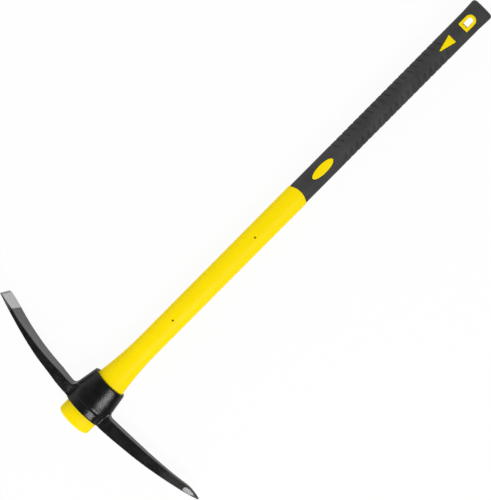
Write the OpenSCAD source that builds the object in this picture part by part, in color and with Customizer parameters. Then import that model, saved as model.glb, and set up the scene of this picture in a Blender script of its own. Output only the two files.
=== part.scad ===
// Pick with a forged steel head on a moulded fibreglass handle.
// Millimetres. The handle lies along X with its grip at +X, the chisel arm points to +Y,
// the pick point to -Y, and the tool lies on its side with +Z up.

/* [Handle] */
// Length of the handle from its flared end to its butt
handle_len = 900; // [750:5:1100]
// Width of the oval shaft
shaft_w = 37.5; // [31:0.5:45]
// Thickness of the handle's oval sections as a share of their width
oval_ratio = 0.72; // [0.66:0.01:0.86]
// Width of the flared end that stops the head
end_w = 58.5; // [55:0.5:70]
// Width of the flare where it leaves the head's collar
seat_w = 50.5; // [48:0.5:54]
// Length of the flared end that stands out below the head
end_len = 25.5; // [15:0.5:40]
// Rounding of the flared end's edge
end_round = 5; // [2:0.5:8]
// Length over which the flare runs out into the shaft above the collar
flare_len = 88; // [60:1:120]
// Diameter of the fibreglass core
core_d = 16; // [10:0.5:19.5]
// Depth of the core's lower end below the handle's end face
core_recess = 2; // [0.5:0.5:6]
// Plastic left between the core's upper end and the hang ring
core_stop = 10; // [5:1:30]
// Diameter of the holes that the moulding pins leave in the jacket
pin_hole_d = 3.5; // [2:0.1:5]
// Distance from the end face to the first row of pin holes
pin_hole_start = 229; // [200:1:260]
// Distance between rows of pin holes
pin_hole_pitch = 182; // [100:1:220]

/* [Grip] */
// Length of the rubber grip from the tip of the jacket's tongue to the butt
grip_len = 388; // [370:1:460]
// How far the rubber lies below the shaft's surface on each side
grip_drop = 1; // [0:0.1:2]
// How far the butt swells past the grip on each side
butt_swell = 1; // [0:0.1:3]
// Length over which the grip widens into the butt
butt_flare = 28; // [15:1:45]
// Rounding of the butt's edge
butt_round = 5; // [2:0.5:8]
// Thickness of the rubber, measured across the width
grip_wall = 2.5; // [1.5:0.1:3.5]
// Thickness of the rubber over the butt's end
butt_wall = 3; // [1.5:0.1:6]
// How far the jacket's round tongue reaches past its own sides
tongue_rise = 8; // [4:0.5:14]

/* [Windows in the grip] */
// How far the jacket's islands stand proud of the rubber
island_proud = 0.3; // [0:0.1:1]
// Length of the oval island
oval_len = 43; // [25:1:52]
// Width of the oval island
oval_w = 15.5; // [10:0.5:19]
// Distance from the butt to the middle of the oval island
oval_from_butt = 340; // [300:1:345]
// Length of the triangular island
wedge_len = 26; // [15:1:32]
// Width of the triangular island at its base
wedge_w = 14.5; // [8:0.5:18]
// Distance from the butt to the base of the triangular island
wedge_from_butt = 64; // [55:1:90]
// Rounding of the triangular island's corners
wedge_round = 1.2; // [0.5:0.1:2]
// Length of the hang ring
ring_len = 25; // [20:0.5:30]
// Width of the hang ring
ring_w = 17.8; // [15:0.1:22]
// Wall of the hang ring around its hole
ring_wall = 4.6; // [2.5:0.1:5]
// Distance from the butt to the round end of the hang ring
ring_from_butt = 18; // [14:0.5:26]

/* [Head] */
// Height of the eye along the handle
eye_h = 61; // [50:0.5:75]
// Gap between the handle and the eye on each side
eye_gap = 0.4; // [0.1:0.05:0.6]
// Wall of the collar at its rim
rim_wall = 3.6; // [2.5:0.1:5]
// Wall of the eye at its foot, between the arms
foot_wall = 7; // [5:0.5:10]
// Radius of the fillet between the collar and the chisel arm
chisel_fillet = 8; // [6:0.5:20]
// Radius of the fillet between the collar and the point arm
point_fillet = 8; // [4:0.5:16]
// Width of both arms where they leave the eye
root_w = 22.5; // [16:0.5:26]
// Chamfer along the arms' edges
arm_chamfer = 2; // [1:0.1:4]
// How far the arms' backs lie below the foot of the eye
arm_drop = 0.5; // [0:0.1:2]

/* [Chisel arm] */
// Reach of the chisel's edge from the handle's axis
chisel_reach = 219; // [180:1:270]
// Rise of the chisel's edge above the foot of the head
chisel_rise = 46; // [30:0.5:60]
// Bend of the chisel arm's back, where 1 is straight and more leaves the bend to the end
chisel_bend = 1.6; // [1:0.1:3]
// Width of the chisel's edge
chisel_w = 52.5; // [36:0.5:60]
// Width of the blade where it stops flaring out from the arm
blade_w = 46.5; // [32:0.5:54]
// Distance from the handle's axis to where the blade stops flaring out
blade_start = 140; // [100:1:165]
// Depth of the chisel arm where it leaves the eye
chisel_root_d = 22.5; // [15:0.5:24]
// How quickly the chisel arm thins down from its root, where 1 is evenly
chisel_thinning = 1.8; // [1:0.1:2.5]
// Depth of the blade behind its ground bevel
blade_d = 8.2; // [5:0.1:9]
// Length of the ground bevel
bevel_len = 32; // [20:1:45]
// Thickness of the chisel's edge
edge_t = 2.5; // [1:0.1:3]

/* [Point arm] */
// Reach of the point from the handle's axis
point_reach = 224; // [180:1:270]
// Rise of the point above the foot of the head
point_rise = 26.5; // [15:0.5:45]
// Bend of the point arm's back, where 1 is straight and more leaves the bend to the end
point_bend = 2.2; // [1:0.1:3]
// Depth of the point arm where it leaves the eye
point_root_d = 22; // [16:0.5:25]
// Depth of the point arm where its ground tip starts
neck_d = 12.5; // [8:0.5:14]
// Width of the point arm where its ground tip starts
neck_w = 14.5; // [9:0.5:16]
// How late the point arm thins down along its length, where 1 is evenly
point_thinning = 1.4; // [1:0.1:2.5]
// Length of the ground tip
tip_len = 28; // [18:1:40]
// Size of the blunt end of the point
tip_d = 2.5; // [1:0.1:3]

/* [Hidden] */
$fn = 96;
far = 200;              // past every surface that a cutter or a prism has to clear
curve_steps = 16;       // straight steps in a curved stretch of a profile
arm_steps = 20;         // rings along an arm
corner_steps = 8;       // straight steps in a rounded corner
chamfer_share = 0.3;    // the most of a section's depth or width that one chamfer takes
over = 1;               // how far a cutter or a hidden end reaches past the face it meets

// Places along the handle, from its end face
collar_x = end_len + eye_h;             // the collar's rim
shaft_x = collar_x + flare_len;         // where the flare has run out
tongue_x = handle_len - grip_len;       // the tip of the jacket's tongue
tang_end = handle_len - butt_wall;      // the jacket's upper end, inside the rubber
oval_x = handle_len - oval_from_butt;
wedge_x = handle_len - wedge_from_butt;
ring_x = handle_len - ring_from_butt;
core_end = ring_x - ring_len - core_stop;

// Half widths
shaft_r = shaft_w / 2;
grip_r = shaft_r - grip_drop;
butt_r = grip_r + butt_swell;
tang_r = grip_r - grip_wall;
end_r = end_w / 2;
seat_r = seat_w / 2;
tongue_r = (pow(shaft_r, 2) + pow(tongue_rise, 2)) / (2 * tongue_rise);

// The eye's bore and the outside of the collar
bore_foot_r = end_r + eye_gap;
bore_rim_r = seat_r + eye_gap;
foot_r = bore_foot_r + foot_wall;
rim_r = bore_rim_r + rim_wall;
foot_half_t = oval_ratio * bore_foot_r + foot_wall;
collar_ratio = foot_half_t / foot_r;

// Distances from the handle's axis along the arms
arm_inner = bore_rim_r / 2;             // the arms start here, inside the bore that is cut later
back_bend = foot_r - 2 * foot_wall;     // their backs are straight up to here
back_x = end_len - arm_drop;            // the level of their backs there

// The tool's place: centred over its own box, lying on the eye's side
axis_y = (point_reach - chisel_reach) / 2;
axis_z = foot_half_t;

function ease(u) = u * u * (3 - 2 * u);
function share(y, from, to) = min(1, max(0, (y - from) / (to - from)));
function flare_r(x) = shaft_r + (seat_r - shaft_r) * pow((shaft_x - x) / flare_len, 2);

// Chisel arm, by its distance y from the handle's axis
bevel_y = chisel_reach - bevel_len;
function chisel_back(y) = back_x + chisel_rise * pow(share(y, back_bend, chisel_reach), chisel_bend);
function blade_depth(y) =
    chisel_root_d + (blade_d - chisel_root_d) * (1 - pow(1 - share(y, foot_r, bevel_y), chisel_thinning));
function chisel_depth(y) = blade_depth(y) + (edge_t - blade_d) * share(y, bevel_y, chisel_reach);
function chisel_width(y) =
    root_w + (blade_w - root_w) * ease(share(y, foot_r, blade_start))
    + (chisel_w - blade_w) * share(y, blade_start, chisel_reach);

// Point arm, by its distance y from the handle's axis
neck_y = point_reach - tip_len;
function point_back(y) = back_x + point_rise * pow(share(y, back_bend, point_reach), point_bend);
function tip_share(y) = pow(share(y, neck_y, point_reach), point_thinning);
function point_depth(y) =
    point_root_d + (neck_d - point_root_d) * pow(share(y, foot_r, neck_y), point_thinning)
    + (tip_d - neck_d) * tip_share(y);
function point_width(y) =
    root_w + (neck_w - root_w) * share(y, foot_r, neck_y) + (tip_d - neck_w) * tip_share(y);

// Eight corners of an arm's chamfered section, at y, between back and back + depth
function arm_ring(y, back, depth, width) =
    let (c = min(arm_chamfer, chamfer_share * depth, chamfer_share * width), w = width / 2, front = back + depth)
    [[back, y, c - w], [back, y, w - c], [back + c, y, w], [front - c, y, w],
     [front, y, w - c], [front, y, c - w], [front - c, y, -w], [back + c, y, -w]];

// A closed solid through rings of equal size, listed in order
module loft(rings) {
    n = len(rings[0]);
    last = len(rings) - 1;
    polyhedron(
        points = [for (ring = rings) each ring],
        faces = [
            [for (k = [0 : n - 1]) k],
            for (i = [0 : last - 1], k = [0 : n - 1])
                let (a = i * n + k, b = i * n + (k + 1) % n)
                each [[a, a + n, b], [b, a + n, b + n]],
            [for (k = [n - 1 : -1 : 0]) last * n + k]
        ]
    );
}

// Puts a shape drawn along the handle's own axis, from its end face, where the tool lies
module place() {
    translate([-handle_len / 2, axis_y, axis_z]) children();
}

// Turns a half profile of [half width, distance along the handle] into an oval solid, by quarters
module oval_turn(profile, ratio) {
    for (turn = [45 : 90 : 315])
        scale([1, 1, ratio]) rotate([90, 0, 90]) rotate([0, 0, turn]) rotate_extrude(angle = 90)
            polygon(profile);
}

// The jacket's outside, from its flared end to past the tongue
module jacket_outside() {
    oval_turn([
        [0, 0],
        for (i = [0 : curve_steps])
            let (a = 90 * i / curve_steps)
            [end_r - end_round * (1 - sin(a)), end_round * (1 - cos(a))],
        [end_r, end_len],
        for (i = [0 : curve_steps])
            let (x = collar_x + flare_len * i / curve_steps)
            [flare_r(x), x],
        [shaft_r, tongue_x + over],
        [0, tongue_x + over]
    ], oval_ratio);
}

// The grip's outside, raised by proud, from below the tongue to the butt
module grip_outside(proud = 0) {
    start = tongue_x - 2 * tongue_rise;
    oval_turn([
        [0, start],
        [grip_r + proud, start],
        [grip_r + proud, handle_len - butt_flare],
        for (i = [0 : curve_steps])
            let (a = 90 * i / curve_steps)
            [butt_r - butt_round * (1 - cos(a)) + proud, handle_len - butt_round * (1 - sin(a))],
        [0, handle_len]
    ], oval_ratio);
}

// The jacket's tang under the rubber
module tang(from) {
    oval_turn([[0, from], [tang_r, from], [tang_r, tang_end], [0, tang_end]], oval_ratio);
}

// All of the handle below the tongue's round edge
module below_tongue() {
    linear_extrude(far, center = true) {
        translate([-far, -far / 2]) square([far + tongue_x - tongue_rise, far]);
        translate([tongue_x - tongue_r, 0]) circle(tongue_r);
    }
}

// Flat outlines of the islands, drawn along the handle
module oval_outline() {
    translate([oval_x, 0]) scale([oval_len / oval_w, 1]) circle(d = oval_w);
}

module wedge_outline() {
    r = wedge_round;
    corners = [
        [wedge_x - wedge_len + r, 0],
        [wedge_x - r, r - wedge_w / 2],
        [wedge_x - r, wedge_w / 2 - r]
    ];
    lean = atan2(wedge_w / 2 - r, wedge_len - 2 * r);
    turns = [[90 + lean, 270 - lean], [270 - lean, 360], [0, 90 + lean]];
    polygon([for (k = [0 : 2], i = [0 : corner_steps])
        let (a = turns[k][0] + (turns[k][1] - turns[k][0]) * i / corner_steps)
        corners[k] + r * [cos(a), sin(a)]]);
}

// A flat-based arch whose round end is at ring_x, taken in by inset all round
module arch_outline(inset = 0) {
    r = ring_w / 2 - inset;
    straight = ring_len - ring_w / 2 - inset;
    translate([ring_x - ring_w / 2, 0]) {
        circle(r);
        translate([-straight, -r]) square([straight, 2 * r]);
    }
}

module islands_outline() {
    oval_outline();
    wedge_outline();
    arch_outline();
}

// A flat outline as a prism right through the handle
module through() {
    linear_extrude(far, center = true) children();
}

// Forged head: an oval eye with a rising collar, a chisel arm and a pointed arm
module pick_head() {
    slope = (bore_rim_r - bore_foot_r) / eye_h;
    color("#222224") place() difference() {
        union() {
            oval_turn([[0, end_len], [foot_r, end_len], [rim_r, collar_x], [0, collar_x]], collar_ratio);
            loft([for (i = [0 : arm_steps])
                let (y = arm_inner + (chisel_reach - arm_inner) * i / arm_steps)
                arm_ring(y, chisel_back(y), chisel_depth(y), chisel_width(y))]);
            mirror([0, 1, 0]) loft([for (i = [0 : arm_steps])
                let (y = arm_inner + (point_reach - arm_inner) * i / arm_steps)
                arm_ring(y, point_back(y), point_depth(y), point_width(y))]);
            root_web(chisel_root_d, chisel_fillet);
            mirror([0, 1, 0]) root_web(point_root_d, point_fillet);
        }
        oval_turn([
            [0, end_len - over],
            [bore_foot_r - slope * over, end_len - over],
            [bore_rim_r + slope * over, collar_x + over],
            [0, collar_x + over]
        ], oval_ratio);
    }
}

// The filleted web between the collar and the front of an arm of this depth
module root_web(depth, fillet) {
    corner_x = back_x + depth;
    corner_y = foot_r + (rim_r - foot_r) * (depth - arm_drop + fillet / 2) / eye_h;
    linear_extrude(root_w - 2 * arm_chamfer, center = true) difference() {
        translate([corner_x - depth / 2, bore_foot_r])
            square([depth / 2 + fillet, corner_y + fillet - bore_foot_r]);
        translate([corner_x + fillet, corner_y + fillet]) circle(fillet);
    }
}

// Moulded plastic jacket: flared end, shaft, tang and the islands that show in the grip
module handle_jacket() {
    color("#ffe205") place() difference() {
        union() {
            intersection() {
                jacket_outside();
                below_tongue();
            }
            tang(shaft_x);
            intersection() {
                grip_outside(island_proud);
                through() islands_outline();
            }
        }
        translate([-over, 0, 0]) rotate([0, 90, 0]) cylinder(d = core_d, h = core_end + over);
        for (row = [0, 1])
            translate([pin_hole_start + row * pin_hole_pitch, 0, 0])
                cylinder(d = pin_hole_d, h = far, center = true);
        through() arch_outline(ring_wall);
    }
}

// Pultruded glass fibre rod that the jacket is moulded over
module fibreglass_core() {
    color("#c9b36a") place()
        translate([core_recess, 0, 0]) rotate([0, 90, 0]) cylinder(d = core_d, h = core_end - core_recess);
}

// Soft rubber sleeve moulded over the tang, open where the islands come through
module grip_sleeve() {
    color("#3c3c3e") place() difference() {
        grip_outside();
        below_tongue();
        tang(shaft_x);
        through() islands_outline();
    }
}

pick_head();
handle_jacket();
fibreglass_core();
grip_sleeve();
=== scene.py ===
import math

import bmesh
import bpy
from mathutils import Matrix, Vector


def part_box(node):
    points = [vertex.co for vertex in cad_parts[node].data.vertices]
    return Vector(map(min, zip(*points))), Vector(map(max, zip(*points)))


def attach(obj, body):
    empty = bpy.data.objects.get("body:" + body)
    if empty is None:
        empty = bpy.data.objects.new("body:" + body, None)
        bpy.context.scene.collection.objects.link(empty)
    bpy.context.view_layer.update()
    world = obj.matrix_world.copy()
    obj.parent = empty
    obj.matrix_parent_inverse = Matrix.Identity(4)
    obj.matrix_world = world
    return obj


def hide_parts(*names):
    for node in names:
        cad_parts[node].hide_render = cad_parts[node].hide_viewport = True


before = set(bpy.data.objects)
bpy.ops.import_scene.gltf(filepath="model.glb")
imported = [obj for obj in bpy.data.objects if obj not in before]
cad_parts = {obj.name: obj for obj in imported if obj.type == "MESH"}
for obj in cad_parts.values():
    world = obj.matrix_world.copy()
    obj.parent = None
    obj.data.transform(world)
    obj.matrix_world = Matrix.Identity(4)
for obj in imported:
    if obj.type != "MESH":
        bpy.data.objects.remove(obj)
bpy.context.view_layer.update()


# HANDLE JACKET
# Yellow polypropylene moulded round the fibreglass rod in a two-part mould: a flared oval end that stops
# the head, an oval shaft, and a tang under the rubber whose three islands come out through the grip.

MM = 0.001
jacket_low, jacket_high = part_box("handle_jacket")
grip_low, grip_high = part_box("grip_sleeve")
core_low, core_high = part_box("fibreglass_core")
foot_x = jacket_low.x
butt_x = grip_high.x
axis_y = (jacket_low.y + jacket_high.y) / 2
axis_z = (jacket_low.z + jacket_high.z) / 2
oval_ratio = (jacket_high.z - jacket_low.z) / (jacket_high.y - jacket_low.y)

oval_sides = 96
end_half = (jacket_high.y - jacket_low.y) / 2
end_round = 5 * MM
end_stop_x = foot_x + 25.5 * MM
seat_half = 25.25 * MM
seat_top_x = foot_x + 86.5 * MM
flare_top_x = foot_x + 174.5 * MM
shaft_half = 18.75 * MM
tongue_x = foot_x + 510.6 * MM
tongue_rise = 8.6 * MM
tongue_bend = (shaft_half ** 2 + tongue_rise ** 2) / (2 * tongue_rise)
tongue_blend_x = foot_x + 440 * MM
tongue_lip = 0.8 * MM
tang_half = 15.25 * MM
tang_margin = 0.5 * MM
tang_end_x = jacket_high.x
rod_half = (core_high.y - core_low.y) / 2
bore_chamfer = 0.7 * MM
bore_past = 2 * MM
parting_ridge = 0.16 * MM
parting_reach = 0.1 * MM
flare_steps = 14
shaft_steps = 16


def pick_up(piece):
    """Deselects everything else, so that an operator acts on this piece alone."""
    if bpy.context.mode != "OBJECT":
        bpy.ops.object.mode_set(mode="OBJECT")
    bpy.ops.object.select_all(action="DESELECT")
    piece.select_set(True)
    bpy.context.view_layer.objects.active = piece


def open_up(piece, what="FACE"):
    """Opens a piece in edit mode with all of it selected."""
    pick_up(piece)
    bpy.ops.object.mode_set(mode="EDIT")
    bpy.ops.mesh.select_mode(type=what)
    bpy.ops.mesh.select_all(action="SELECT")


def close_up(piece):
    """Leaves edit mode with this piece alone selected."""
    bpy.ops.object.mode_set(mode="OBJECT")
    pick_up(piece)


def new_piece(name):
    """Names the primitive just added and puts its place into its mesh."""
    piece = bpy.context.object
    piece.name = name
    piece.data.name = name
    bpy.ops.object.transform_apply(location=True, rotation=True, scale=True)
    return piece


def select_in(piece, kind, test):
    """In edit mode, selects the vertices, edges or faces that pass a test of their place."""
    bpy.ops.mesh.select_all(action="DESELECT")
    shape = bmesh.from_edit_mesh(piece.data)
    for part in getattr(shape, kind):
        if test(part):
            part.select_set(True)
    shape.select_flush_mode()
    bmesh.update_edit_mesh(piece.data)


def move_each(piece, place):
    """In edit mode, moves every vertex to the place that the function gives for it, or leaves it."""
    shape = bmesh.from_edit_mesh(piece.data)
    for vertex in shape.verts:
        moved = place(vertex.co)
        if moved is not None:
            vertex.co = moved
    bmesh.update_edit_mesh(piece.data)


def add_disc(points, radius, at, turn=0):
    """Adds a flat filled ring, turned about Y, with nothing else selected."""
    bpy.ops.object.select_all(action="DESELECT")
    bpy.ops.mesh.primitive_circle_add(vertices=points, radius=radius, fill_type="NGON", location=at,
                                      rotation=(0, turn, 0))


def extrude_on(step, grow, centre):
    """In edit mode, extrudes what is selected by a step and scales it about a centre."""
    bpy.ops.mesh.extrude_region_move(TRANSFORM_OT_translate={"value": step})
    bpy.ops.transform.resize(value=grow, center_override=centre)


def face_outwards():
    """In edit mode, turns all faces outwards."""
    bpy.ops.mesh.select_all(action="SELECT")
    bpy.ops.mesh.normals_make_consistent(inside=False)


def draw_along_handle(name, stations):
    """Draws a closed oval shape along the handle: a filled ring, extruded from station to station.
    A station is its place along X, its half width in Y and its half thickness in Z."""
    x, wide, thick = stations[0]
    add_disc(oval_sides, wide, (x, axis_y, axis_z), math.pi / 2)
    piece = new_piece(name)
    open_up(piece)
    bpy.ops.transform.resize(value=(1, 1, thick / wide), center_override=(x, axis_y, axis_z))
    for next_x, next_wide, next_thick in stations[1:]:
        extrude_on((next_x - x, 0, 0), (1, next_wide / wide, next_thick / thick), (next_x, axis_y, axis_z))
        x, wide, thick = next_x, next_wide, next_thick
    face_outwards()
    return piece


def oval(x, half):
    """A station of the handle's own oval."""
    return (x, half, half * oval_ratio)


def rounded(x, half, radius, steps, way):
    """Stations of a rounded outer edge that starts or ends on a flat face at x; way is 1 going out, -1 going in."""
    turns = [math.pi / 2 * i / steps for i in range(steps + 1)]
    if way > 0:
        return [oval(x + radius * (1 - math.sin(a)), half - radius * (1 - math.cos(a))) for a in turns[::-1]]
    return [oval(x - radius * (1 - math.sin(a)), half - radius * (1 - math.cos(a))) for a in turns]


def share(value, start, stop):
    """0 at start, 1 at stop, in proportion between them and level outside."""
    return min(max((value - start) / (stop - start), 0.0), 1.0)


def tongue_drop(y):
    """How far the jacket's round tongue falls away from its tip at y."""
    off = min(abs(y - axis_y), tongue_bend)
    return tongue_bend - math.sqrt(tongue_bend ** 2 - off ** 2)


flare_stations = []
for i in range(1, flare_steps):
    left = 1 - i / flare_steps
    x = seat_top_x + (flare_top_x - seat_top_x) * (1 - left)
    flare_stations.append(oval(x, shaft_half + (seat_half - shaft_half) * left ** 2))
shaft_length = tongue_x - flare_top_x
shaft_stations = [oval(flare_top_x + shaft_length * i / shaft_steps, shaft_half) for i in range(shaft_steps)]
jacket = draw_along_handle("jacket_moulding", [
    *rounded(foot_x, end_half, end_round, steps=8, way=1),
    oval(end_stop_x, end_half),
    oval(seat_top_x, seat_half),
    *flare_stations,
    *shaft_stations,
    *rounded(tongue_x, shaft_half, tongue_lip, steps=4, way=-1),
    oval(tongue_x, tang_half),
    oval(tang_end_x, tang_half),
])


def on_parting_line(at):
    """True where the mould's halves met, at half the handle's height."""
    return abs(at.z - axis_z) < parting_reach


def jacket_place(at):
    """Bends the tongue's edge round, and raises the parting line of the mould along both sides."""
    moved = at.copy()
    if tongue_blend_x < at.x < tongue_x + tongue_lip:
        moved.x -= tongue_drop(at.y) * share(at.x, tongue_blend_x, tongue_x)
    if on_parting_line(at) and abs(at.y - axis_y) > tang_half + tang_margin:
        moved.y += math.copysign(parting_ridge, at.y - axis_y)
    return moved


move_each(jacket, jacket_place)
close_up(jacket)

# The islands, alike on the front and the back: an oval, a triangle that points to the head, and an arch round
# the hang hole
outline_points = 72
hole_points = 60
weld_reach = 1e-6
hair = 1e-7
island_y = axis_y + 0.6 * MM
oval_x = butt_x - 340.85 * MM
oval_reach = (21.5 * MM, 7.1 * MM)
wedge_tip_x = butt_x - 90 * MM
wedge_base_x = butt_x - 64 * MM
wedge_half = 7.25 * MM
wedge_round = 1.2 * MM
arch_tip_x = butt_x - 18 * MM
arch_flat_x = butt_x - 43 * MM
arch_half = 8.9 * MM
arch_wall = 4.6 * MM
island_proud = 0.3 * MM
island_edge = [(0, -0.55), (0.06, -0.3), (0.2, -0.1), (0.5, 0)]
island_rings = (0.25, 0.4, 0.6, 0.85)
grip_half = shaft_half - 1 * MM
butt_half = (grip_high.y - grip_low.y) / 2
butt_flare_x = butt_x - 28 * MM
butt_round = 5 * MM
top_reach = 0.95


def grip_half_at(x):
    """Half the width of the rubber, which widens to the butt."""
    return grip_half + (butt_half - grip_half) * share(x, butt_flare_x, butt_x - butt_round)


def grip_top(at):
    """Height of the rubber's outer face over the axis at a point of the plan."""
    across = min(abs(at.y - axis_y), top_reach * grip_half)
    return oval_ratio * math.sqrt(grip_half_at(at.x) ** 2 - across ** 2)


def oval_outline(name, grow):
    """The oval, like each outline, comes with its middle along X and the half sizes that its top is drawn in from."""
    reach = (oval_reach[0] + grow, oval_reach[1] + grow)
    add_disc(outline_points, 1, (oval_x, island_y, axis_z))
    bpy.context.object.scale = (*reach, 1)
    return new_piece(name), oval_x, reach


def wedge_outline(name, grow):
    """A triangle whose corners are rounded by beveling its three points."""
    radius = wedge_round + grow
    lean = math.atan2(wedge_half - wedge_round, wedge_base_x - wedge_tip_x - 2 * wedge_round)
    tip = wedge_tip_x + wedge_round - radius / math.sin(lean)
    base = wedge_base_x + grow
    half = (base - tip) * math.tan(lean)
    add_disc(3, 1, (0, 0, 0))
    piece = new_piece(name)
    open_up(piece, "VERT")
    corners = [(tip, 0), (base, -half), (base, half)]
    move_each(piece, lambda at: Vector((corners[0][0], island_y + corners.pop(0)[1], axis_z)))
    for at_tip, opening in ((True, 2 * lean), (False, math.pi / 2 - lean)):
        select_in(piece, "verts", lambda v: (v.co.x < tip + 1 * MM) == at_tip and
                  (at_tip or abs(v.co.x - base) < hair))
        bpy.ops.mesh.bevel(offset=radius / math.tan(opening / 2), offset_type="OFFSET", segments=8,
                           profile=0.5, affect="VERTICES")
    close_up(piece)
    inradius = half * math.tan((math.pi / 2 - lean) / 2)
    return piece, base - inradius, (inradius, inradius)


def arch_outline(name, grow, points=outline_points):
    """A circle whose half towards the head is pressed flat."""
    centre_x = arch_tip_x - arch_half
    flat_x = arch_flat_x - grow
    add_disc(points, arch_half + grow, (centre_x, island_y, axis_z))
    piece = new_piece(name)
    open_up(piece, "VERT")
    select_in(piece, "verts", lambda v: v.co.x < centre_x - 0.01 * MM)
    bpy.ops.transform.resize(value=(0, 1, 1), center_override=(flat_x, island_y, axis_z))
    close_up(piece)
    middle_x = (arch_tip_x + grow + flat_x) / 2
    return piece, middle_x, (arch_tip_x + grow - middle_x, arch_half + grow)


def press_to_grip(outline, steps):
    """Raises an outline from the middle of the handle through (inset, lift) steps, presses its top to the
    curve of the grip, and mirrors it to the back, so that it is alike on both sides."""
    piece, centre_x, reach = outline
    flat_top = 20 * MM
    open_up(piece)
    level, done = axis_z, 0
    for inset, lift in steps:
        target = axis_z + flat_top + lift
        drawn_in = [(half - inset) / (half - done) for half in reach]
        extrude_on((0, 0, target - level), (*drawn_in, 1), (centre_x, island_y, target))
        level, done = target, inset
    bpy.ops.mesh.poke()
    move_each(piece, lambda at: Vector((at.x, at.y, at.z - flat_top + grip_top(at)))
              if at.z > axis_z + flat_top / 2 else None)
    select_in(piece, "faces", lambda f: abs(f.calc_center_median().z - axis_z) < hair and abs(f.normal.z) > 0.9)
    bpy.ops.mesh.delete(type="FACE")
    bpy.ops.mesh.select_all(action="SELECT")
    bpy.ops.mesh.duplicate()
    bpy.ops.transform.resize(value=(1, 1, -1), center_override=(centre_x, axis_y, axis_z))
    bpy.ops.mesh.select_all(action="SELECT")
    bpy.ops.mesh.remove_doubles(threshold=weld_reach)
    face_outwards()
    close_up(piece)
    return piece


def combine(piece, tool, how):
    """Joins a tool to a piece or cuts it out, and throws the tool away."""
    pick_up(piece)
    modifier = piece.modifiers.new("combine", "BOOLEAN")
    modifier.operation = how
    modifier.solver = "EXACT"
    modifier.object = tool
    bpy.ops.object.modifier_apply(modifier=modifier.name)
    bpy.data.objects.remove(tool, do_unlink=True)


def island_steps(reach):
    """A rounded edge, then rings in to the middle, so that the top can follow the handle's curve."""
    edge = [(inset * MM, island_proud + lift * MM) for inset, lift in island_edge]
    return edge + [(reach * part, island_proud) for part in island_rings]


for outline in (oval_outline, wedge_outline, arch_outline):
    drawn = outline("island", 0)
    combine(jacket, press_to_grip(drawn, island_steps(min(drawn[2]))), "UNION")

# The bore for the rod, the hang hole right through the arch, and the holes left by the pins that held the rod
combine(jacket, draw_along_handle("rod_bore", [
    (foot_x - bore_past, rod_half + bore_chamfer, rod_half + bore_chamfer),
    (foot_x, rod_half + bore_chamfer, rod_half + bore_chamfer),
    (foot_x + bore_chamfer, rod_half, rod_half),
    (core_high.x, rod_half, rod_half),
]), "DIFFERENCE")
hole_rim = 0.7 * MM
window_top = 4 * MM
combine(jacket, press_to_grip(arch_outline("hang_hole", -arch_wall, hole_points), [
    (0, island_proud - hole_rim),
    (-0.3 * hole_rim, island_proud - 0.3 * hole_rim),
    (-1.5 * hole_rim, island_proud + 0.2 * hole_rim),
    (-1.5 * hole_rim, window_top),
]), "DIFFERENCE")

pin_points = 40
pin_half = 1.75 * MM
pin_edge = 0.4 * MM
pin_foot = 0.6 * rod_half
pin_past = 3 * MM
pin_places = [foot_x + 229 * MM, foot_x + 411 * MM]
pin_skin = oval_ratio * shaft_half
for pin_x in pin_places:
    for side in (1, -1):
        add_disc(pin_points, pin_half, (pin_x, axis_y, axis_z + side * pin_foot))
        pin = new_piece("mould_pin")
        open_up(pin)
        level, wide = pin_foot, pin_half
        for height, half in ((pin_skin - pin_edge, pin_half), (pin_skin + pin_edge, pin_half + 2 * pin_edge),
                             (pin_skin + pin_past, pin_half + 2 * pin_edge)):
            extrude_on((0, 0, side * (height - level)), (half / wide, half / wide, 1),
                       (pin_x, axis_y, axis_z + side * height))
            level, wide = height, half
        face_outwards()
        close_up(pin)
        combine(jacket, pin, "DIFFERENCE")


def finish_mesh(piece, angle):
    """Merges doubles, turns all faces outwards and shades by angle."""
    open_up(piece)
    bpy.ops.mesh.remove_doubles(threshold=weld_reach)
    face_outwards()
    close_up(piece)
    bpy.ops.object.shade_smooth_by_angle(angle=math.radians(angle))


finish_mesh(jacket, angle=35)


def node(tree, kind, inputs=None, **settings):
    """Adds a shader node, with plain values set on its own sockets."""
    made = tree.nodes.new("ShaderNode" + kind)
    for name, value in settings.items():
        setattr(made, name, value)
    for name, value in (inputs or {}).items():
        made.inputs[name].default_value = value
    return made


def new_material(name):
    """A material with its shader, and the object's own coordinates in metres."""
    material = bpy.data.materials.new(name)
    material.use_nodes = True
    tree = material.node_tree
    tree.nodes.clear()
    shader = node(tree, "BsdfPrincipled")
    output = node(tree, "OutputMaterial")
    tree.links.new(shader.outputs["BSDF"], output.inputs["Surface"])
    place = node(tree, "TexCoord").outputs["Object"]
    return material, tree, shader, place


def ramp(tree, source, low, high):
    """0 below low, 1 above high, smooth between."""
    made = node(tree, "MapRange", {"From Min": low, "From Max": high}, interpolation_type="SMOOTHSTEP")
    tree.links.new(source, made.inputs["Value"])
    return made.outputs["Result"]


def blend_colours(tree, mask, first, second):
    """Mixes two colours by a mask; either may be a colour or another node's output."""
    made = node(tree, "Mix", data_type="RGBA")
    tree.links.new(mask, made.inputs["Factor"])
    for socket, value in ((made.inputs[6], first), (made.inputs[7], second)):
        if isinstance(value, tuple):
            socket.default_value = (*value, 1)
        else:
            tree.links.new(value, socket)
    return made.outputs[2]


def sums(tree, how, first, second):
    """A Math node; either side may be a number or another node's output."""
    made = node(tree, "Math", operation=how)
    for socket, value in ((made.inputs[0], first), (made.inputs[1], second)):
        if isinstance(value, (int, float)):
            socket.default_value = value
        else:
            tree.links.new(value, socket)
    return made.outputs[0]


def varied(tree, base, *parts):
    """A base value with shares of other nodes' outputs added to it."""
    for source, amount in parts:
        base = sums(tree, "ADD", base, sums(tree, "MULTIPLY", source, amount))
    return base


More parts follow.
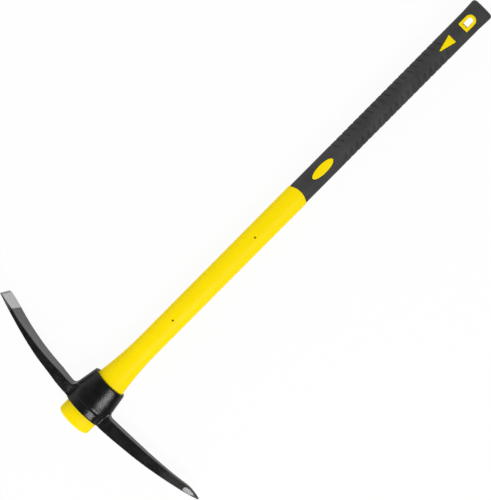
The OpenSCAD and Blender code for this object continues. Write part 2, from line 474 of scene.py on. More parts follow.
def add_relief(tree, shader, height, strength, distance):
    """Fine relief of a surface, by a Bump node."""
    made = node(tree, "Bump", {"Strength": strength, "Distance": distance})
    tree.links.new(height, made.inputs["Height"])
    tree.links.new(made.outputs["Normal"], shader.inputs["Normal"])


def dress(piece, material):
    """Gives a piece its one material."""
    piece.data.materials.clear()
    piece.data.materials.append(material)


def new_group(name, inputs, outputs):
    """A shader node group with named sockets, for an effect that several materials use."""
    tree = bpy.data.node_groups.new(name, "ShaderNodeTree")
    for label, kind in inputs:
        tree.interface.new_socket(label, in_out="INPUT", socket_type=kind)
    for label, kind in outputs:
        tree.interface.new_socket(label, in_out="OUTPUT", socket_type=kind)
    return tree, tree.nodes.new("NodeGroupInput"), tree.nodes.new("NodeGroupOutput")


def use_group(tree, group, place, **values):
    """Places a group in a material with this material's own values."""
    made = node(tree, "Group", node_tree=group)
    tree.links.new(place, made.inputs["Place"])
    for label, value in values.items():
        made.inputs[label.replace("_", " ")].default_value = value
    return made


# The grain of a spark-eroded mould, with the slow drift of tone that a moulded skin has
moulded_skin, skin_in, skin_out = new_group(
    "moulded_skin",
    [("Place", "NodeSocketVector"), ("Grain Scale", "NodeSocketFloat"), ("Drift Scale", "NodeSocketFloat")],
    [("Grain", "NodeSocketFloat"), ("Drift", "NodeSocketFloat")])
grain_noise = node(moulded_skin, "TexNoise", {"Detail": 3.0, "Roughness": 0.55})
drift_noise = node(moulded_skin, "TexNoise", {"Detail": 4.0, "Roughness": 0.6, "Distortion": 0.4})
for noise, scale in ((grain_noise, "Grain Scale"), (drift_noise, "Drift Scale")):
    moulded_skin.links.new(skin_in.outputs["Place"], noise.inputs["Vector"])
    moulded_skin.links.new(skin_in.outputs[scale], noise.inputs["Scale"])
moulded_skin.links.new(grain_noise.outputs["Fac"], skin_out.inputs["Grain"])
moulded_skin.links.new(ramp(moulded_skin, drift_noise.outputs["Fac"], 0.3, 0.7), skin_out.inputs["Drift"])

# Fine scuffs along the tool, in patches, from handling and stacking
handling_scuffs, scuff_in, scuff_out = new_group(
    "handling_scuffs",
    [("Place", "NodeSocketVector"), ("Scuff Scale", "NodeSocketFloat"), ("Patch Scale", "NodeSocketFloat")],
    [("Scuffs", "NodeSocketFloat")])
drawn_out = node(handling_scuffs, "Mapping", {"Scale": (0.05, 1, 1), "Rotation": (0, 0, 0.35)})
scuff_noise = node(handling_scuffs, "TexNoise", {"Detail": 2.0, "Roughness": 0.5})
patch_noise = node(handling_scuffs, "TexNoise", {"Detail": 3.0, "Roughness": 0.6})
for source, target in ((scuff_in.outputs["Place"], drawn_out.inputs["Vector"]),
                       (drawn_out.outputs["Vector"], scuff_noise.inputs["Vector"]),
                       (scuff_in.outputs["Scuff Scale"], scuff_noise.inputs["Scale"]),
                       (scuff_in.outputs["Place"], patch_noise.inputs["Vector"]),
                       (scuff_in.outputs["Patch Scale"], patch_noise.inputs["Scale"])):
    handling_scuffs.links.new(source, target)
lines = ramp(handling_scuffs, scuff_noise.outputs["Fac"], 0.64, 0.72)
patches = ramp(handling_scuffs, patch_noise.outputs["Fac"], 0.52, 0.66)
handling_scuffs.links.new(sums(handling_scuffs, "MULTIPLY", lines, patches), scuff_out.inputs["Scuffs"])

yellow = (0.97, 0.745, 0.001)
deep_yellow = (0.93, 0.69, 0.001)
scuffed_yellow = (0.86, 0.70, 0.10)
jacket_drift = 0.35
jacket_wear = 0.30
jacket_roughness = 0.33
jacket_skin, tree, shader, place = new_material("yellow_polypropylene")
skin = use_group(tree, moulded_skin, place, Grain_Scale=2600.0, Drift_Scale=22.0)
scuffs = use_group(tree, handling_scuffs, place, Scuff_Scale=900.0, Patch_Scale=38.0)
toned = blend_colours(tree, sums(tree, "MULTIPLY", skin.outputs["Drift"], jacket_drift), yellow, deep_yellow)
worn = sums(tree, "MULTIPLY", scuffs.outputs["Scuffs"], jacket_wear)
tree.links.new(blend_colours(tree, worn, toned, scuffed_yellow), shader.inputs["Base Color"])
tree.links.new(varied(tree, jacket_roughness, (skin.outputs["Grain"], 0.10), (skin.outputs["Drift"], 0.07)),
               shader.inputs["Roughness"])
add_relief(tree, shader, skin.outputs["Grain"], strength=0.22, distance=0.08 * MM)
shader.inputs["Specular IOR Level"].default_value = 0.06
dress(jacket, jacket_skin)

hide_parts("handle_jacket")
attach(jacket, "handle")


# FIBREGLASS CORE
# A round rod of glass rovings pulled through a heated die with polyester resin, and sawn to length.
# Only its sawn end shows, sunk in the flared end of the jacket, so the solid itself stays.

resin = (0.36, 0.30, 0.13)
glass = (0.72, 0.66, 0.42)
rod_roughness = 0.5
rod_skin, tree, shader, place = new_material("pultruded_glass")
bundles = node(tree, "TexVoronoi", {"Scale": 1500.0, "Randomness": 1.0})
streaks = node(tree, "Mapping", {"Scale": (0.02, 1, 1)})
tree.links.new(place, streaks.inputs["Vector"])
tree.links.new(streaks.outputs["Vector"], bundles.inputs["Vector"])
saw_marks = node(tree, "TexWave", {"Scale": 420.0, "Distortion": 2.5, "Detail": 2.0, "Detail Scale": 1.5},
                 bands_direction="Y")
tree.links.new(place, saw_marks.inputs["Vector"])
strands = ramp(tree, bundles.outputs["Distance"], 0.15, 0.55)
tree.links.new(blend_colours(tree, strands, glass, resin), shader.inputs["Base Color"])
tree.links.new(varied(tree, rod_roughness, (strands, 0.2)), shader.inputs["Roughness"])
add_relief(tree, shader, sums(tree, "ADD", saw_marks.outputs["Fac"], strands), strength=0.5, distance=0.1 * MM)
dress(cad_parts["fibreglass_core"], rod_skin)


# GRIP SLEEVE
# Black thermoplastic rubber moulded over the tang in a second shot. Two rows of slanted grooves leave a
# smooth spine down the front and the back, and windows leave the jacket's islands showing.

sleeve_clearance = 0.03 * MM
sleeve_margin = 0.2 * MM
sleeve_lip = 0.5 * MM
tread_start_x = foot_x + 602 * MM
groove_pitch = 12.08 * MM
groove_count = 19
groove_depth = 1.45 * MM
groove_profile = [(-2.1, 0), (-1.7, 0.12), (-1.35, 0.5), (-1.0, 0.88), (-0.55, 1), (0.55, 1), (1.0, 0.88),
                  (1.35, 0.5), (1.7, 0.12), (2.1, 0)]
spine_half = 6 * MM
groove_end = 2.5 * MM
fade_start = 12 * MM
fade_stop = 22 * MM
side_fade = 0.65
chevron_slope = math.tan(math.radians(33))
tread_blend = 38 * MM
lower_blend_x = foot_x + 560 * MM
ring_reach = 0.02 * MM
arc_pieces = 24
lower_rings = range(518, 591, 8)
upper_rings = range(830, 863, 8)
butt_rings = (0, 8, 16)

grooves = [tread_start_x + groove_pitch * i for i in range(groove_count)]
tread_rings = []
for middle in grooves:
    tread_rings += [oval(middle + off * MM, grip_half) for off, part in groove_profile]
    tread_rings.append(oval(middle + groove_pitch / 2, grip_half))
sleeve_half = tang_half + sleeve_clearance
grip = draw_along_handle("rubber_grip", [
    oval(tang_end_x + sleeve_clearance, sleeve_half),
    oval(tongue_x, sleeve_half),
    *rounded(tongue_x, grip_half, sleeve_lip, steps=4, way=1),
    *[oval(foot_x + along * MM, grip_half) for along in lower_rings],
    *tread_rings,
    *[oval(foot_x + along * MM, grip_half) for along in upper_rings],
    *[oval(butt_flare_x + along * MM, grip_half_at(butt_flare_x + along * MM)) for along in butt_rings],
    *rounded(butt_x, butt_half, butt_round, steps=10, way=-1),
])


def around(at):
    """Distance round the oval from the nearer middle line, front or back."""
    angle = math.atan2(abs(at.y - axis_y), abs(at.z - axis_z) / oval_ratio)
    turn = angle / arc_pieces
    return sum(grip_half * turn * math.hypot(math.cos((i + 0.5) * turn), oval_ratio * math.sin((i + 0.5) * turn))
               for i in range(arc_pieces))


def half_width(at):
    """Half the width of the oval that goes through a point."""
    return math.hypot(at.y - axis_y, (at.z - axis_z) / oval_ratio)


def on_skin(at):
    """True on the rubber's outer face."""
    return half_width(at) > (sleeve_half + grip_half) / 2


def off_groove(x):
    """Distance from the middle of the nearest groove."""
    return min((x - middle for middle in grooves), key=abs)


def ease(u):
    """A share that starts and stops softly."""
    return u * u * (3 - 2 * u)


def groove_place(at):
    """Sinks the grooves, which run out softly at the spine and grow shallow towards the sides of the handle."""
    if not on_skin(at):
        return None
    along, off = around(at), off_groove(at.x)
    part = sum(part for station, part in groove_profile if abs(off - station * MM) < ring_reach)
    part *= ease(share(along, spine_half, spine_half + groove_end))
    part *= 1 - side_fade * ease(share(along, fade_start, fade_stop))
    outward = Vector((0, at.y - axis_y, (at.z - axis_z) / oval_ratio ** 2)).normalized()
    return at - outward * groove_depth * part


move_each(grip, groove_place)


def grip_place(at):
    """Slants the grooves from the spine out and towards the head, and bends the lower edge to the tongue."""
    moved = at.copy()
    if at.x < lower_blend_x:
        moved.x -= tongue_drop(at.y) * share(at.x, lower_blend_x, tongue_x)
    slant = min(share(at.x, tread_start_x - tread_blend, tread_start_x),
                share(at.x, grooves[-1] + tread_blend, grooves[-1] + groove_pitch / 2))
    if slant > 0 and half_width(at) > tang_half + sleeve_margin:
        moved.x -= slant * chevron_slope * max(0.0, around(at) - spine_half)
    if on_parting_line(at) and on_skin(at):
        moved.y += math.copysign(parting_ridge, at.y - axis_y)
    return moved


move_each(grip, grip_place)
close_up(grip)

window_gap = 0.22 * MM
window_lip = 0.5 * MM
window_steps = [(0, -window_lip), (-0.3 * window_lip, -0.3 * window_lip), (-window_lip, 0.05 * MM),
                (-2 * window_lip, 0.6 * MM), (-2 * window_lip, window_top)]
for outline in (oval_outline, wedge_outline, arch_outline):
    combine(grip, press_to_grip(outline("window", window_gap), window_steps), "DIFFERENCE")
finish_mesh(grip, angle=40)

rubber = (0.028, 0.028, 0.029)
faded_rubber = (0.041, 0.041, 0.042)
dusted_rubber = (0.060, 0.059, 0.057)
grip_wear = 0.35
grip_roughness = 0.60
grip_skin, tree, shader, place = new_material("black_rubber")
skin = use_group(tree, moulded_skin, place, Grain_Scale=1800.0, Drift_Scale=30.0)
scuffs = use_group(tree, handling_scuffs, place, Scuff_Scale=700.0, Patch_Scale=45.0)
toned = blend_colours(tree, skin.outputs["Drift"], rubber, faded_rubber)
worn = sums(tree, "MULTIPLY", scuffs.outputs["Scuffs"], grip_wear)
tree.links.new(blend_colours(tree, worn, toned, dusted_rubber), shader.inputs["Base Color"])
tree.links.new(varied(tree, grip_roughness, (skin.outputs["Grain"], 0.16)), shader.inputs["Roughness"])
add_relief(tree, shader, skin.outputs["Grain"], strength=0.35, distance=0.12 * MM)
shader.inputs["Specular IOR Level"].default_value = 0.35
dress(grip, grip_skin)

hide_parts("grip_sleeve")
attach(grip, "handle")


# PICK HEAD
# One steel forging: an oval eye whose collar rises along the handle, a broad chisel arm and a pointed arm.
# It is dipped in black paint, then the chisel's bevel and a flat on each side of the point are ground bare.

foot_half = 36.65 * MM
rim_half = 29.25 * MM
collar_ratio = 0.7735
rim_low_x = end_stop_x - 0.4 * MM
rim_round = 1.2 * MM
rim_break = 0.35 * MM
belt_top_x = foot_x + 40 * MM
belt_upright = 0.6 * MM
waist_depths = [(-0.6, 0.25), (0.4, 1.22), (2.5, 1.22), (7.2, 1.64), (13, 1.74), (19, 1.48), (25, 1.12), (31.5, 0.67),
                (38, 0.2)]


def collar_half(x):
    """Half the collar's width, which tapers to its upper rim."""
    return foot_half + (rim_half - foot_half) * share(x, end_stop_x, seat_top_x)


def collar(x, inset, step):
    """An oval of the collar, taken in by inset, and by step on the front and back only."""
    half = collar_half(x) - inset
    return (x, half, half * collar_ratio - step)


head = draw_along_handle("forged_head", [
    collar(rim_low_x, rim_round, belt_upright),
    collar(rim_low_x + rim_break, rim_break, belt_upright),
    collar(rim_low_x + rim_round, 0, belt_upright),
    collar(belt_top_x - 1.4 * MM, 0, -belt_upright),
    *[collar(belt_top_x + along * MM, 0, depth * MM) for along, depth in waist_depths],
    collar(seat_top_x - 4 * MM, 0, 0.07 * MM),
    collar(seat_top_x - rim_round, 0, 0),
    collar(seat_top_x - rim_break, rim_break, 0),
    collar(seat_top_x, rim_round, 0),
])

collar_bulge = 2.2 * MM
bulge_x = (belt_top_x - 2 * MM, belt_top_x + 12 * MM)
chisel_flare = 2.4 * MM
point_flare = 1.7 * MM
flare_above_x = (seat_top_x + 6 * MM, belt_top_x + 8 * MM)
flare_below_x = (belt_top_x - 4 * MM, belt_top_x + 8 * MM)
ear_rise = 1.5 * MM
chisel_drop = 0.8 * MM
point_drop = 1.6 * MM
belt_tuck = 3 * MM
tuck_x = (belt_top_x + 7 * MM, belt_top_x - 4 * MM)
belt_flat = 0.5 * MM
belt_flat_y = -14 * MM
belt_flat_half = 9 * MM
belt_flat_x = (belt_top_x + 2 * MM, belt_top_x)


def fuller_sides(at):
    """The collar flares towards the arms, and is fuller on the chisel's side, where its upper rim rises. Its lower rim
    sinks at both sides, and the belt below the crease is tucked in and flatter on the point's side."""
    to_chisel = share(at.y, axis_y, axis_y + rim_half)
    to_point = share(at.y, axis_y, axis_y - rim_half)
    flared = share(at.x, *flare_above_x) * share(at.x, *flare_below_x)
    wide = collar_bulge * ease(share(at.x, *bulge_x)) + chisel_flare * flared
    tuck = belt_tuck * ease(share(at.x, *tuck_x))
    high = ear_rise * share(at.x, belt_top_x, seat_top_x) * to_chisel ** 2
    low = share(at.x, belt_top_x, rim_low_x) * (chisel_drop * to_chisel ** 4 + point_drop * to_point ** 4)
    from_flat = (at.y - axis_y - belt_flat_y) / belt_flat_half
    dish = belt_flat * math.exp(-from_flat ** 2) * share(at.x, *belt_flat_x)
    return Vector((at.x + high - low,
                   at.y + wide * to_chisel + tuck * to_point ** 2 - point_flare * flared * to_point ** 3,
                   at.z - math.copysign(dish, at.z - axis_z)))


move_each(head, fuller_sides)
close_up(head)

# The arms' back faces run on from the collar's lower rim and bend up towards the grip
back_x = end_stop_x - 0.5 * MM
back_bend = 22.65 * MM
chisel_reach = 219 * MM
chisel_rise = 46 * MM
chisel_bend = 1.6
chisel_root = 22.5 * MM
chisel_thinning = 1.8
chisel_neck = 28 * MM
chisel_spread = 0.75
chisel_dip = 3.2 * MM
dip_y = (70 * MM, 42 * MM)
chisel_hollow = 1.15 * MM
hollow_least = 0.6
hollow_full_y = (64 * MM, 76 * MM)
hollow_root_y = (28 * MM, 40 * MM)
hollow_end_y = (112 * MM, 84 * MM)
blade_start = 140 * MM
blade_depth = 8.2 * MM
blade_width = 46.5 * MM
blade_twist = 2.2 * MM
bevel_y = 187 * MM
edge_width = 52.5 * MM
chisel_fillet = 6.5 * MM
point_reach = 224.5 * MM
point_rise = 26.5 * MM
point_bend = 2.2
point_sag = 1.4 * MM
sag_bend = 1.3
sag_y = (95 * MM, 36 * MM)
sag_root_y = (26 * MM, 36 * MM)
point_root = 22 * MM
point_width = 22.5 * MM
point_thinning = 1.4
neck_y = 196 * MM
neck_depth = 12.5 * MM
neck_width = 14.5 * MM
tip_size = 2.5 * MM
point_fillet = 7.5 * MM
point_rounding = 2.6
rounding_y = (90 * MM, 190 * MM)
arm_start = 14 * MM
arm_chamfer = 1.5 * MM
web_sunk = 0.4 * MM
root_steps = (-3, 0, 0.5, 1, 2, 3, 4.5, 6, 8, 10, 13, 16, 20, 26)
chisel_rings = range(70, 215, 9)
point_rings = range(70, 191, 10)
tip_rings = [3.5 * i for i in range(9)]


def fillet(y, radius, start):
    """Height of the round web between the collar's side, at start, and an arm, at a distance y from the axis."""
    reach = share(y, start + radius, start)
    return radius * (1 - math.sqrt(max(0.0, 1 - reach ** 2)))


def chisel_section(y):
    """Back face, depth along the handle and width of the chisel arm, before its bevel is ground."""
    back = back_x + chisel_rise * share(y, back_bend, chisel_reach) ** chisel_bend
    depth = chisel_root + (blade_depth - chisel_root) * (1 - (1 - share(y, foot_half, bevel_y)) ** chisel_thinning)
    hollow = (chisel_hollow * (hollow_least + (1 - hollow_least) * share(y, *hollow_full_y))
              * share(y, *hollow_root_y) * share(y, *hollow_end_y))
    width = (chisel_neck + (blade_width - chisel_neck) * share(y, foot_half, blade_start) ** chisel_spread
             + (edge_width - blade_width) * share(y, blade_start, chisel_reach))
    return back + hollow, depth - (hollow + chisel_dip * share(y, *dip_y)), width


def point_section(y):
    """Back face, depth along the handle and width of the pointed arm."""
    back = back_x + point_rise * share(y, back_bend, point_reach) ** point_bend
    back -= point_sag * share(y, *sag_y) ** sag_bend * share(y, *sag_root_y)
    tip = share(y, neck_y, point_reach) ** point_thinning
    depth = (point_root + (neck_depth - point_root) * share(y, foot_half, neck_y) ** point_thinning
             + (tip_size - neck_depth) * tip)
    width = point_width + (neck_width - point_width) * share(y, foot_half, neck_y) + (tip_size - neck_width) * tip
    return back, depth, width


def draw_arm(name, side, section, web, web_start, places, corner):
    """Extrudes an arm outwards from inside the eye, section by section, with chamfered corners."""
    def full_section(y):
        """Middle, depth and width of the section with the web at its root."""
        back, depth, width = section(y)
        depth += fillet(y, web, web_start)
        return Vector((back + depth / 2, axis_y + side * y, axis_z)), depth, width

    at, depth, width = full_section(places[0])
    bpy.ops.object.select_all(action="DESELECT")
    bpy.ops.mesh.primitive_plane_add(size=1, location=at, rotation=(math.pi / 2, 0, 0))
    bpy.context.object.scale = (depth, width, 1)
    piece = new_piece(name)
    if corner:
        open_up(piece, "VERT")
        bpy.ops.mesh.bevel(offset=corner, offset_type="OFFSET", segments=2, profile=0.5, affect="VERTICES")
    open_up(piece)
    for y in places[1:]:
        next_at, next_depth, next_width = full_section(y)
        extrude_on(next_at - at, (next_depth / depth, 1, next_width / width), next_at)
        at, depth, width = next_at, next_depth, next_width
    face_outwards()
    return piece


def root_places(web_start):
    """Places along an arm that follow the curve of the web at its root."""
    return [arm_start] + [web_start + step * MM for step in root_steps]


chisel_web = collar_half(back_x + chisel_root - chisel_dip + chisel_fillet) + collar_bulge + chisel_flare - web_sunk
chisel_places = root_places(chisel_web) + [y * MM for y in chisel_rings] + [chisel_reach + 1 * MM]
chisel = draw_arm("chisel_arm", 1, chisel_section, chisel_fillet, chisel_web, chisel_places, 0)


def twist_blade(at):
    """Lowers the front corner of the blade's grip side, so that the blade is thinner there."""
    y = at.y - axis_y
    if at.z > axis_z and at.x > end_stop_x + chisel_section(y)[0] - back_x + 1 * MM:
        return Vector((at.x - blade_twist * ease(share(y, blade_start, bevel_y - 8 * MM)), at.y, at.z))
    return None


move_each(chisel, twist_blade)
bpy.ops.mesh.select_mode(type="EDGE")
select_in(chisel, "edges", lambda e: abs((e.verts[0].co - e.verts[1].co).normalized().y) > 0.5
          and len(e.link_faces) == 2)
bpy.ops.mesh.bevel(offset=arm_chamfer, offset_type="OFFSET", segments=2, profile=0.5, affect="EDGES",
                   clamp_overlap=True)
close_up(chisel)

point_web = collar_half(back_x + point_root + point_fillet) + point_flare - web_sunk
point_places = root_places(point_web) + [y * MM for y in point_rings] + [neck_y + y * MM for y in tip_rings]
point = draw_arm("point_arm", -1, point_section, point_fillet, point_web, point_places, arm_chamfer)


def rounder_point(at):
    """Widens the chamfers of the pointed arm towards its tip, where it is almost round."""
    y = axis_y - at.y
    back, depth, width = point_section(y)
    depth += fillet(y, point_fillet, point_web)
    grow = point_rounding * ease(share(y, *rounding_y))
    off_x, off_z = at.x - back - depth / 2, at.z - axis_z
    in_x, in_z = depth / 2 - abs(off_x), width / 2 - abs(off_z)
    return Vector((at.x - math.copysign(grow * in_x, off_x), at.y, at.z - math.copysign(grow * in_z, off_z)))


move_each(point, rounder_point)
close_up(point)

# The forging as one skin: the three are joined, remeshed and smoothed, most of all towards the worn point, and
# marked by the hammer where they are not ground
voxel = 1.1 * MM
root_near = (24 * MM, 30 * MM)
root_far = (56 * MM, 42 * MM)
worn_point_y = (-100 * MM, -180 * MM)
unground_y = (190 * MM, 160 * MM)
smoothing = 0.5
smoothing_turns = (("dressed", "", 4), ("blended", "arm_roots", 1), ("worn", "worn_point", 10))
pick_up(head)
chisel.select_set(True)
point.select_set(True)
bpy.ops.object.join()
remesh = head.modifiers.new("one_skin", "REMESH")
remesh.mode = "VOXEL"
remesh.voxel_size = voxel
bpy.ops.object.modifier_apply(modifier=remesh.name)
roots = head.vertex_groups.new(name="arm_roots")
worn_point = head.vertex_groups.new(name="worn_point")
unground = head.vertex_groups.new(name="unground")
for vertex in head.data.vertices:
    along = vertex.co.y - axis_y
    roots.add([vertex.index], share(abs(along), *root_near) * share(abs(along), *root_far), "REPLACE")
    worn_point.add([vertex.index], share(along, *worn_point_y), "REPLACE")
    unground.add([vertex.index], share(abs(along), *unground_y), "REPLACE")
for name, group, turns in smoothing_turns:
    smooth = head.modifiers.new(name, "SMOOTH")
    smooth.factor = smoothing
    smooth.iterations = turns
    smooth.vertex_group = group
    bpy.ops.object.modifier_apply(modifier=smooth.name)
forging_marks = bpy.data.textures.new("forging_marks", "CLOUDS")
forging_marks.noise_scale = 9 * MM
forging_marks.noise_depth = 2
hammered = head.modifiers.new("hammered", "DISPLACE")
hammered.texture = forging_marks
hammered.texture_coords = "LOCAL"
hammered.strength = 0.16 * MM
hammered.mid_level = 0.5
hammered.vertex_group = "unground"
bpy.ops.object.modifier_apply(modifier=hammered.name)
head.vertex_groups.clear()

# The eye, a tapered oval through the collar with its two mouths eased and some room on the chisel's side
bore_gap = 0.4 * MM
eye_foot = end_half + bore_gap
eye_rim = seat_half + bore_gap
eye_mouth = 0.8 * MM
mouth_past = 0.2 * MM
ear_gap = 1.1 * MM
eye = draw_along_handle("eye", [
    oval(rim_low_x - 3 * MM, eye_foot + eye_mouth),
    oval(rim_low_x - mouth_past, eye_foot + eye_mouth),
    oval(rim_low_x + eye_mouth, eye_foot),
    oval(seat_top_x - eye_mouth, eye_rim),
    oval(seat_top_x + mouth_past, eye_rim + eye_mouth),
    oval(seat_top_x + 4 * MM, eye_rim + eye_mouth),
])
move_each(eye, lambda at: Vector((at.x, at.y + ear_gap * share(at.y, axis_y, axis_y + rim_half)
                                  * share(at.x, belt_top_x, seat_top_x), at.z)))
close_up(eye)
combine(head, eye, "DIFFERENCE")

# Grinding: the skewed cutting edge, its bevel, the honed strip along it, the blade's sides, and the point's flats
blade_zone = 150 * MM
edge_zone = 170 * MM
edge_near_y = 219 * MM
edge_far_y = 212.5 * MM
edge_depth = 2 * MM
bevel_near_y = 189 * MM
bevel_far_y = 182 * MM
bevel_across = 25 * MM
bevel_bare = 1.0
honed_width = 4.2 * MM
honed_tilt = 0.35
honed_bare = 0.35
side_y = 185 * MM
side_sunk = 0.65 * MM
side_bare = 0.16
flat_zone = 180 * MM
flat_start_y = 196 * MM
flat_stop_y = 212 * MM
flat_depth = 0.18 * MM
flat_bare = 0.29
along_x = Vector((1, 0, 0))
along_y = Vector((0, 1, 0))
along_z = Vector((0, 0, 1))


def grind(piece, zone, on, facing, bare):
    """Grinds away what stands outside a plane within a zone, and marks the flat left as bare or painted."""
    open_up(piece)
    select_in(piece, "faces", lambda f: zone(f.calc_center_median()))
    bpy.ops.mesh.bisect(plane_co=on, plane_no=facing, use_fill=True, clear_outer=True, clear_inner=False,
                        threshold=weld_reach)
    shape = bmesh.from_edit_mesh(piece.data)
    layer = shape.faces.layers.float.get("bare_steel") or shape.faces.layers.float.new("bare_steel")
    for face in shape.faces:
        middle = face.calc_center_median()
        if zone(middle) and face.normal.dot(facing) > 0.999 and abs((middle - on).dot(facing)) < 1e-5:
            face[layer] = bare
    bmesh.update_edit_mesh(piece.data)
    close_up(piece)


def looking(direction, way):
    """The direction made a unit long, or its opposite, whichever looks the given way."""
    direction = direction.normalized()
    return direction if direction.dot(way) > 0 else -direction


def on_blade(at):
    """True on the part of the chisel arm that is ground."""
    return at.y > axis_y + blade_zone


def chisel_point(y, across, lift):
    """A point of the chisel arm at y and across the blade, lift above its back face."""
    return Vector((chisel_section(y)[0] + lift, axis_y + y, axis_z + across))


edge_on = chisel_point(edge_near_y, edge_width / 2, 0)
edge_run = chisel_point(edge_far_y, -edge_width / 2, 0) - edge_on
edge_facing = looking(edge_run.cross(along_x), along_y)
grind(head, lambda at: at.y > axis_y + edge_zone, edge_on, edge_facing, 0.0)

bevel_near = chisel_point(bevel_near_y, bevel_across, blade_depth - blade_twist)
bevel_far = chisel_point(bevel_far_y, -bevel_across, blade_depth)
bevel_edge = chisel_point(edge_near_y, edge_width / 2, edge_depth)
bevel_facing = looking((bevel_far - bevel_near).cross(bevel_edge - bevel_near), along_x)
grind(head, on_blade, bevel_near, bevel_facing, bevel_bare)
honed_facing = (bevel_facing + honed_tilt * edge_facing).normalized()
honed_run = looking(bevel_facing.cross(edge_run), -along_y)
grind(head, on_blade, bevel_edge + honed_run * honed_width, honed_facing, honed_bare)
for side in (1, -1):
    side_on = chisel_point(side_y, side * chisel_section(side_y)[2] / 2, 0)
    side_end = chisel_point(chisel_reach, side * (edge_width / 2 - side_sunk), 0)
    grind(head, on_blade, side_on, looking((side_end - side_on).cross(along_x), side * along_z), side_bare)


def flat_point(y, side):
    """A point of the flat on one side of the pointed arm, sunk a little into it."""
    back, depth, width = point_section(y)
    return Vector((back + depth / 2, axis_y - y, axis_z + side * (width / 2 - flat_depth)))


for side in (1, -1):
    flat_on, flat_end = flat_point(flat_start_y, side), flat_point(flat_stop_y, side)
    flat_facing = looking((flat_end - flat_on).cross(along_x), side * along_z)
    grind(head, lambda at: at.y < axis_y - flat_zone and (at.z - axis_z) * side > 0, flat_on, flat_facing, flat_bare)

# How sharply each point stands out, for paint rubbed thin along the edges, and the paint made lighter towards the
# point
wear_spread = 2
wear_gain = 2.2
tip_lightening = 0.9
tip_lightening_y = (120 * MM, 200 * MM)
shape = bmesh.new()
shape.from_mesh(head.data)
shape.normal_update()
layer = shape.verts.layers.float.new("rubbed_edges_lighter_tip")
for vertex in shape.verts:
    ring = [edge.other_vert(vertex).co for edge in vertex.link_edges]
    middle = sum(ring, Vector()) / len(ring)
    span = sum((at - vertex.co).length for at in ring) / len(ring)
    vertex[layer] = min(max((vertex.co - middle).dot(vertex.normal) / max(span, 1e-9) * wear_gain, 0.0), 1.0)
for turn in range(wear_spread):
    around_each = [sum(edge.other_vert(vertex)[layer] for edge in vertex.link_edges) / len(vertex.link_edges)
                   for vertex in shape.verts]
    for vertex, worn in zip(shape.verts, around_each):
        vertex[layer] = 0.5 * vertex[layer] + 0.5 * worn
# The same value is raised towards the point, so that the paint there is lighter
for vertex in shape.verts:
    vertex[layer] = max(vertex[layer], tip_lightening * ease(share(axis_y - vertex.co.y, *tip_lightening_y)))
shape.to_mesh(head.data)
shape.free()
pick_up(head)
bpy.ops.object.shade_smooth_by_angle(angle=math.radians(32))
for face, ground in zip(head.data.polygons, head.data.attributes["bare_steel"].data):
    face.use_smooth = ground.value == 0

black_paint = (0.004, 0.004, 0.0045)
thin_paint = (0.008, 0.008, 0.008)
lighter_paint = (0.045, 0.044, 0.042)
ground_steel = (0.575, 0.575, 0.575)
dull_steel = (0.45, 0.45, 0.46)
edge_wear_and_tip = 0.55
scuff_wear = 0.25
paint_roughness = 0.20
steel_roughness = 0.4
head_skin, tree, shader, place = new_material("painted_forging")
bare = node(tree, "Attribute", attribute_name="bare_steel", attribute_type="GEOMETRY").outputs["Fac"]
edges = node(tree, "Attribute", attribute_name="rubbed_edges_lighter_tip", attribute_type="GEOMETRY").outputs["Fac"]
skin = use_group(tree, moulded_skin, place, Grain_Scale=420.0, Drift_Scale=70.0)
scuffs = use_group(tree, handling_scuffs, place, Scuff_Scale=500.0, Patch_Scale=30.0)
grinding = node(tree, "Mapping", {"Scale": (1, 0.03, 1)})
grit = node(tree, "TexNoise", {"Scale": 2400.0, "Detail": 3.0, "Roughness": 0.6})
tree.links.new(place, grinding.inputs["Vector"])
tree.links.new(grinding.outputs["Vector"], grit.inputs["Vector"])


def painted_or_bare(on_paint, on_steel):
    """A value that changes where the steel is ground bare."""
    made = node(tree, "Mix", data_type="FLOAT")
    for source, socket in ((bare, 0), (on_paint, 2), (on_steel, 3)):
        tree.links.new(source, made.inputs[socket])
    return made.outputs[0]


# One lighter paint goes on the rubbed edges, on the scuffs and towards the point
rubbed = ramp(tree, varied(tree, edges, (skin.outputs["Grain"], 0.35)), 0.42, 0.75)
worn = sums(tree, "MAXIMUM", sums(tree, "MULTIPLY", rubbed, edge_wear_and_tip),
            sums(tree, "MULTIPLY", scuffs.outputs["Scuffs"], scuff_wear))
painted = blend_colours(tree, skin.outputs["Drift"], black_paint, thin_paint)
painted = blend_colours(tree, worn, painted, lighter_paint)
metal = blend_colours(tree, ramp(tree, grit.outputs["Fac"], 0.35, 0.65), dull_steel, ground_steel)
tree.links.new(blend_colours(tree, bare, painted, metal), shader.inputs["Base Color"])
tree.links.new(bare, shader.inputs["Metallic"])
tree.links.new(painted_or_bare(varied(tree, paint_roughness, (skin.outputs["Drift"], 0.08)),
                               varied(tree, steel_roughness, (grit.outputs["Fac"], 0.2))), shader.inputs["Roughness"])
add_relief(tree, shader, painted_or_bare(skin.outputs["Grain"], sums(tree, "MULTIPLY", grit.outputs["Fac"], 0.12)),
           strength=0.5, distance=0.5 * MM)
shader.inputs["Specular IOR Level"].default_value = 0.22
dress(head, head_skin)

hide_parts("pick_head")
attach(head, "head")


# STUDIO
# A plain white floor under the tool, pale walls round it under a dimmer ceiling, one tall soft lamp on the side of
# the pointed arm, and a camera almost straight above, turned so that the handle runs to the upper right.

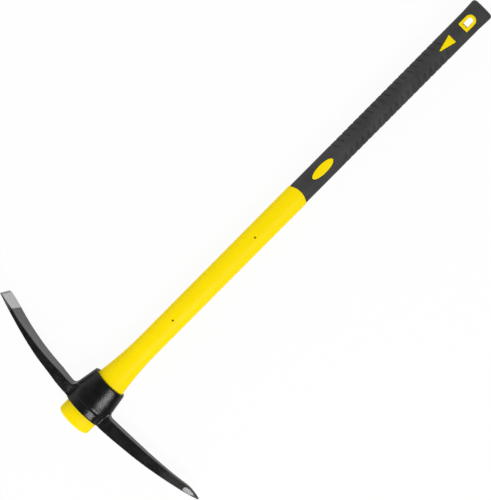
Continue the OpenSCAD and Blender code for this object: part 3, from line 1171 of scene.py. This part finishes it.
floor_half = 6.0
floor_drop = 0.2 * MM
floor_grey = (0.86, 0.86, 0.86, 1)
floor_white_share = 0.95
floor_gloss_share = 0.58
bpy.ops.object.select_all(action="DESELECT")
bpy.ops.mesh.primitive_plane_add(size=2 * floor_half, location=(0, 0, -floor_drop))
floor = new_piece("studio_floor")
floor_white = bpy.data.materials.new("studio_white")
floor_white.use_nodes = True
tree = floor_white.node_tree
tree.nodes.clear()
paper = node(tree, "BsdfDiffuse", {"Color": floor_grey})
glow = node(tree, "Emission", {"Color": (1, 1, 1, 1), "Strength": 1.0})
rays = node(tree, "LightPath")
mirrored = sums(tree, "MULTIPLY", rays.outputs["Is Glossy Ray"], floor_gloss_share)
seen = sums(tree, "MAXIMUM", rays.outputs["Is Camera Ray"],
            sums(tree, "MAXIMUM", mirrored, rays.outputs["Is Transmission Ray"]))
whiten = node(tree, "MixShader")
tree.links.new(sums(tree, "MULTIPLY", seen, floor_white_share), whiten.inputs["Fac"])
tree.links.new(paper.outputs["BSDF"], whiten.inputs[1])
tree.links.new(glow.outputs["Emission"], whiten.inputs[2])
floor_output = node(tree, "OutputMaterial")
tree.links.new(whiten.outputs["Shader"], floor_output.inputs["Surface"])
floor.data.materials.append(floor_white)

wall_light = (1.56, 1.56, 1.56)
ceiling_light = (0.22, 0.22, 0.22)
dark_side = (0.12, 0.12, 0.12)
studio = bpy.data.worlds.new("studio")
bpy.context.scene.world = studio
studio.use_nodes = True
tree = studio.node_tree
tree.nodes.clear()
direction = node(tree, "SeparateXYZ")
tree.links.new(node(tree, "TexCoord").outputs["Generated"], direction.inputs["Vector"])
upward = ramp(tree, direction.outputs["Z"], 0.15, 0.92)
walls = blend_colours(tree, upward, wall_light, ceiling_light)
lit_side = ramp(tree, direction.outputs["Y"], -0.85, -0.25)
walls = blend_colours(tree, lit_side, dark_side, walls)
sky = node(tree, "Background", {"Strength": 1.0})
tree.links.new(walls, sky.inputs["Color"])
tree.links.new(sky.outputs["Background"], node(tree, "OutputWorld").inputs["Surface"])

camera_aim = Vector((foot_x + 384.6 * MM, axis_y - 3.04 * MM, axis_z))
camera_tilt = math.radians(10.7775)
camera_swing = math.radians(-0.7379)
camera_roll = math.radians(45.1732)
camera_distance = 4.0224
focal_pixels = 2634.51
image_long_side = 500

towards = Vector((math.sin(camera_tilt) * math.cos(camera_swing), -math.sin(camera_swing),
                  math.cos(camera_tilt) * math.cos(camera_swing)))
along_handle = (Vector((1, 0, 0)) - towards * towards.x).normalized()
across_handle = towards.cross(along_handle)
right = math.cos(camera_roll) * along_handle - math.sin(camera_roll) * across_handle
up = math.sin(camera_roll) * along_handle + math.cos(camera_roll) * across_handle
lens = bpy.data.cameras.new("camera")
lens.sensor_width = 36
lens.lens = focal_pixels * lens.sensor_width / image_long_side
lens.clip_start = 0.1
lens.clip_end = 100
camera = bpy.data.objects.new("camera", lens)
bpy.context.scene.collection.objects.link(camera)
camera.matrix_world = Matrix.Translation(camera_aim + towards * camera_distance) @ Matrix(
    (right, up, towards)).transposed().to_4x4()
bpy.context.scene.camera = camera

lamp_aim = Vector((foot_x + 50 * MM, axis_y, axis_z))
lamp_side = Vector((-0.20, -0.60, 0.78)).normalized()
lamp_distance = 3.2
lamp = bpy.data.lights.new("key_softbox", "AREA")
lamp.shape = "RECTANGLE"
lamp.size, lamp.size_y = 0.75, 1.6
lamp.energy = 74
softbox = bpy.data.objects.new("key_softbox", lamp)
bpy.context.scene.collection.objects.link(softbox)
softbox.matrix_world = (Matrix.Translation(lamp_aim + lamp_side * lamp_distance)
                        @ lamp_side.to_track_quat("Z", "Y").to_matrix().to_4x4())

bpy.context.scene.view_settings.view_transform = "Standard"
